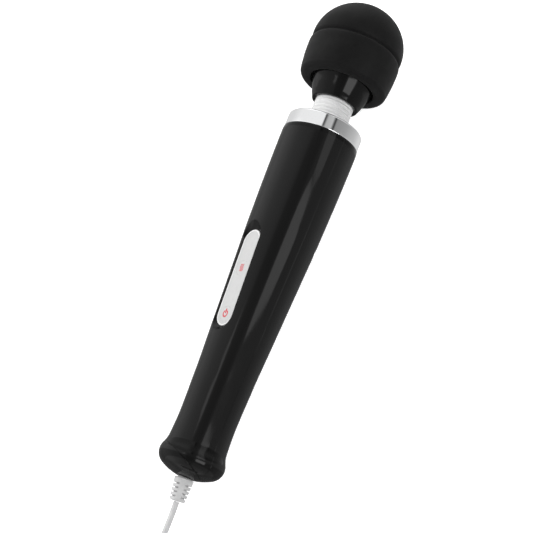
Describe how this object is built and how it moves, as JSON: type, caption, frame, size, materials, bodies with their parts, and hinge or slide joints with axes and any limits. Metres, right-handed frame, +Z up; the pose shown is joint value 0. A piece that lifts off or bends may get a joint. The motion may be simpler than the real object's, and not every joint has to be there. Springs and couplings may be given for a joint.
{
  "type": "corded wand massager",
  "caption": "Corded electric wand massager with a flexing neck, a silicone-covered round head, a chrome collar, a control strip on the handle and a tied cord with its plug-in adapter.",
  "frame": {"origin": "centre of the wand's footprint on the surface it lies on", "axes": "+Z up from that surface; +Y along the wand from its tail towards its head, which lies about 2 degrees higher; +X to the right seen from the tail"},
  "size_m": [0.0609, 0.4717, 0.0594],
  "materials": {
    "gloss_black_plastic": "high gloss",
    "matte_silicone": "matte",
    "chrome": "mirror polish",
    "white_plastic": "satin",
    "white_rubber": "soft satin",
    "white_cord": "satin",
    "black_rubber": "matte",
    "red_wire": "satin",
    "steel": "satin",
    "brass": "satin",
    "circuit_board": "satin",
    "grey_plastic": "matte"
  },
  "bodies": {
    "handle": {"front_shell": "gloss_black_plastic", "rear_shell": "gloss_black_plastic", "tail_cap": "gloss_black_plastic", "shell_screw_1": "steel", "shell_screw_2": "steel", "shell_screw_3": "steel", "control_strip": "white_plastic", "power_switch": "grey_plastic", "mode_switch": "grey_plastic", "board_screw_1": "steel", "board_screw_2": "steel", "circuit_board": "circuit_board", "driver_chip": "black_rubber", "capacitor": "grey_plastic", "motor_can": "steel", "motor_rear_cap": "grey_plastic", "motor_bearing": "brass", "motor_magnet_left": "grey_plastic", "motor_magnet_right": "grey_plastic", "motor_cushion_front": "black_rubber", "motor_cushion_rear": "black_rubber", "collar_ring": "chrome", "neck_flange": "grey_plastic", "strain_relief": "white_rubber", "cord_clamp": "grey_plastic", "supply_lead": "white_cord", "motor_lead_red": "red_wire", "motor_lead_black": "black_rubber", "cord_lead": "white_cord", "cord_hank": "white_cord", "cord_tie": "black_rubber", "cord_end": "white_cord", "adapter_body": "white_plastic", "adapter_blade_left": "brass", "adapter_blade_right": "brass", "adapter_face": "white_plastic", "adapter_relief": "white_rubber"},
    "head": {"head_base": "gloss_black_plastic", "head_screw_1": "steel", "head_screw_2": "steel", "head_screw_3": "steel", "head_shell": "grey_plastic", "head_cover": "matte_silicone", "head_bearing_lower": "steel", "head_bearing_upper": "steel"},
    "weight": {"eccentric_weight": "brass", "head_shaft": "steel"},
    "neck": {"neck_spring": "steel", "neck_sleeve": "white_rubber"},
    "rotor": {"motor_rotor": "brass", "commutator": "brass", "motor_shaft": "steel", "drive_spring": "steel"},
    "power_key": {"power_button": "white_plastic", "power_plunger": "black_rubber"},
    "mode_key": {"mode_button": "white_plastic", "mode_plunger": "black_rubber"}
  },
  "joints": [
    {"name": "neck_pitch", "type": "hinge", "parent": "handle", "child": "neck", "pos_m": [0, 0.08318, 0.02805], "axis": [1, 0, 0], "range_deg": [-20, 20], "stiffness_Nm_per_rad": 2, "deforming": ["neck_sleeve", "neck_spring", "drive_spring"]},
    {"name": "neck_yaw", "type": "hinge", "parent": "neck", "child": "head", "pos_m": [0, 0.09117, 0.02834], "axis": [0, -0.0364, 0.9993], "range_deg": [-20, 20], "stiffness_Nm_per_rad": 2, "deforming": ["neck_sleeve", "neck_spring", "drive_spring"]},
    {"name": "rotor_spin", "type": "hinge", "parent": "handle", "child": "rotor", "pos_m": [0, 0.02942, 0.02609], "axis": [0, 0.9993, 0.0364], "continuous": true},
    {"name": "weight_spin", "type": "hinge", "parent": "head", "child": "weight", "pos_m": [0, 0.12935, 0.02974], "axis": [0, 0.9993, 0.0364], "continuous": true},
    {"name": "power_press", "type": "slide", "parent": "handle", "child": "power_key", "axis": [0.7538, 0.0738, -0.653], "range_m": [0, 0.0005], "stiffness_N_per_m": 2000},
    {"name": "mode_press", "type": "slide", "parent": "handle", "child": "mode_key", "axis": [0.7538, 0.0738, -0.653], "range_m": [0, 0.0005], "stiffness_N_per_m": 2000}
  ],
  "couplings": [
    {"joint": "weight_spin", "follows": "rotor_spin", "ratio": 1}
  ]
}
